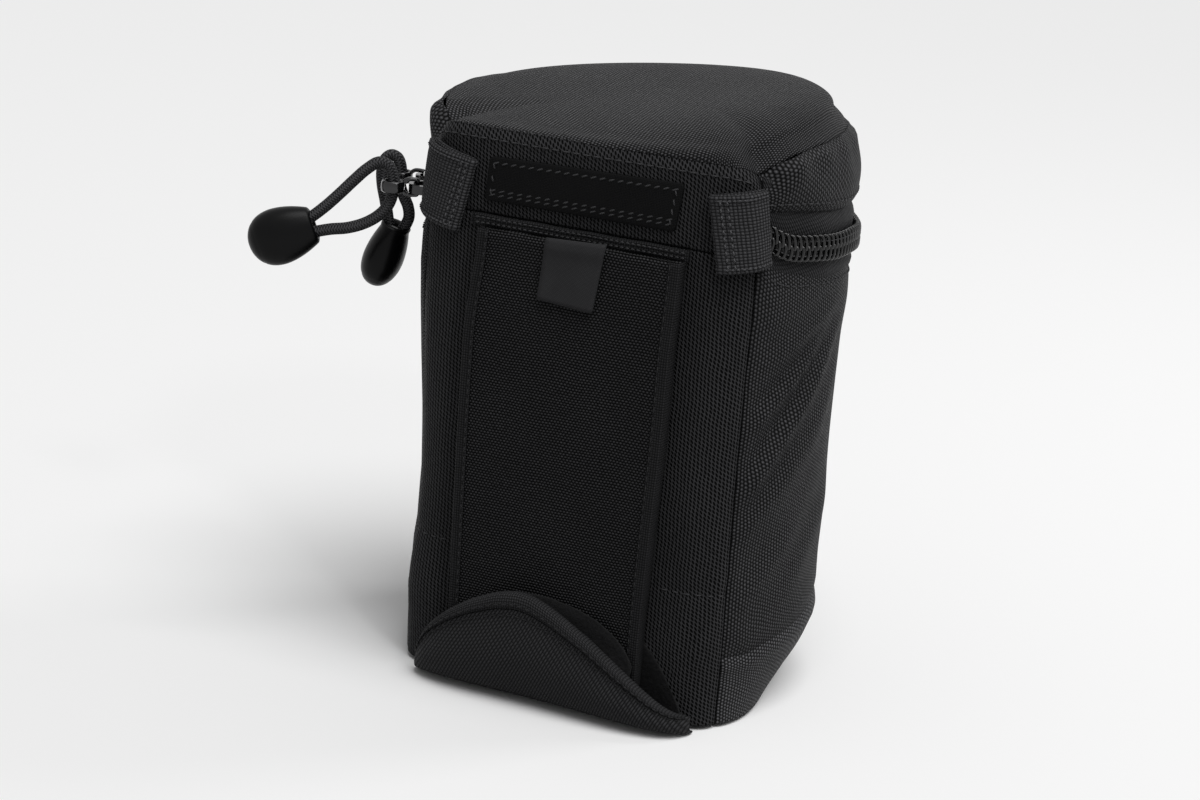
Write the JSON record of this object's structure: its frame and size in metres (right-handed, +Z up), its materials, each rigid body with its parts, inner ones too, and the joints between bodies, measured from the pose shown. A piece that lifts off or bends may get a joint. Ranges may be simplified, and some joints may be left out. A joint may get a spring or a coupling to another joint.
{
  "type": "lens pouch",
  "caption": "Padded lens pouch with a zipped, crowned lid, a belt tab that tucks behind a bottom flap, webbing loops at the lid's corners and corded zip pulls.",
  "frame": {"origin": "On the floor, midway between the belt panel's face and the back of the round side", "axes": "+Z up, -Y out of the flat belt panel, +X to the right of someone who looks at the belt panel"},
  "size_m": [0.152, 0.1078, 0.1614],
  "materials": {
    "ballistic": "coarse woven nylon, matte",
    "mesh": "fine open weave, matte",
    "webbing": "woven tape and cord",
    "smooth": "smooth nylon",
    "lining": "brushed",
    "padding": "closed foam",
    "tape": "fine woven tape",
    "hook": "hook and loop",
    "label": "woven label, bare",
    "coil": "glossy nylon coil",
    "plastic": "semi-gloss moulding",
    "metal": "glossy black"
  },
  "bodies": {
    "body": {"side_wrap": "ballistic", "belt_panel": "mesh", "body_padding": "padding", "body_lining": "lining", "base_pad": "padding", "base_panel": "ballistic", "base_boot": "ballistic", "mouth_binding": "tape", "lower_zip_tape": "tape", "lower_zip_coil": "coil", "fold_ridge": "mesh", "landing_patch": "hook"},
    "lid": {"lid_cover": "ballistic", "lid_padding": "padding", "lid_lining": "lining", "lid_wall": "ballistic", "lid_front": "mesh", "lid_binding": "tape", "upper_zip_tape": "tape", "upper_zip_coil": "coil", "label_patch": "label", "webbing_loop_right": "webbing", "webbing_loop_left": "webbing"},
    "tab": {"belt_tab": "ballistic", "tab_stiffener": "plastic", "tab_edge_right": "webbing", "tab_edge_left": "webbing", "size_tag": "smooth"},
    "flap": {"bottom_flap": "smooth", "flap_binding": "webbing", "flap_hook_patch": "hook"},
    "front_zip_slider": {"front_slider": "metal"},
    "front_zip_puller": {"front_puller": "metal"},
    "front_cord_pull": {"front_pull_cord": "webbing", "front_pull_bead": "plastic"},
    "rear_zip_slider": {"rear_slider": "metal"},
    "rear_zip_puller": {"rear_puller": "metal"},
    "rear_cord_pull": {"rear_pull_cord": "webbing", "rear_pull_bead": "plastic"}
  },
  "joints": [
    {"name": "lid_hinge", "type": "hinge", "parent": "body", "child": "lid", "pos_m": [0, -0.048, 0.128], "axis": [1, 0, 0], "range_deg": [0, 95]},
    {"name": "flap_hinge", "type": "hinge", "parent": "body", "child": "flap", "pos_m": [0, -0.047, 0.0005], "axis": [1, 0, 0], "range_deg": [0, 150]},
    {"name": "tab_swing", "type": "hinge", "parent": "body", "child": "tab", "pos_m": [0, -0.0485, 0.125], "axis": [-1, 0, 0], "range_deg": [0, 12]},
    {"name": "front_slider_run", "type": "hinge", "parent": "body", "child": "front_zip_slider", "pos_m": [0, -0.0092, 0.1287], "axis": [0, 0, 1], "range_deg": [0, 2]},
    {"name": "front_puller_swing", "type": "hinge", "parent": "front_zip_slider", "child": "front_zip_puller", "pos_m": [-0.05388, -0.03491, 0.1287], "axis": [0, 0, 1], "range_deg": [-8, 40]},
    {"name": "front_cord_swing", "type": "hinge", "parent": "front_zip_puller", "child": "front_cord_pull", "pos_m": [-0.05993, -0.03779, 0.1287], "axis": [0, 0, 1], "range_deg": [-8, 20]},
    {"name": "rear_slider_run", "type": "hinge", "parent": "body", "child": "rear_zip_slider", "pos_m": [0, -0.0092, 0.1287], "axis": [0, 0, -1], "range_deg": [0, 220]},
    {"name": "rear_puller_swing", "type": "hinge", "parent": "rear_zip_slider", "child": "rear_zip_puller", "pos_m": [-0.05786, -0.02392, 0.1287], "axis": [0, 0, -1], "range_deg": [-8, 55]},
    {"name": "rear_cord_swing", "type": "hinge", "parent": "rear_zip_puller", "child": "rear_cord_pull", "pos_m": [-0.06435, -0.02557, 0.1287], "axis": [0, 0, -1], "range_deg": [-8, 18]}
  ],
  "couplings": [
    {"joint": "tab_swing", "follows": "flap_hinge", "ratio": 0.08}
  ]
}
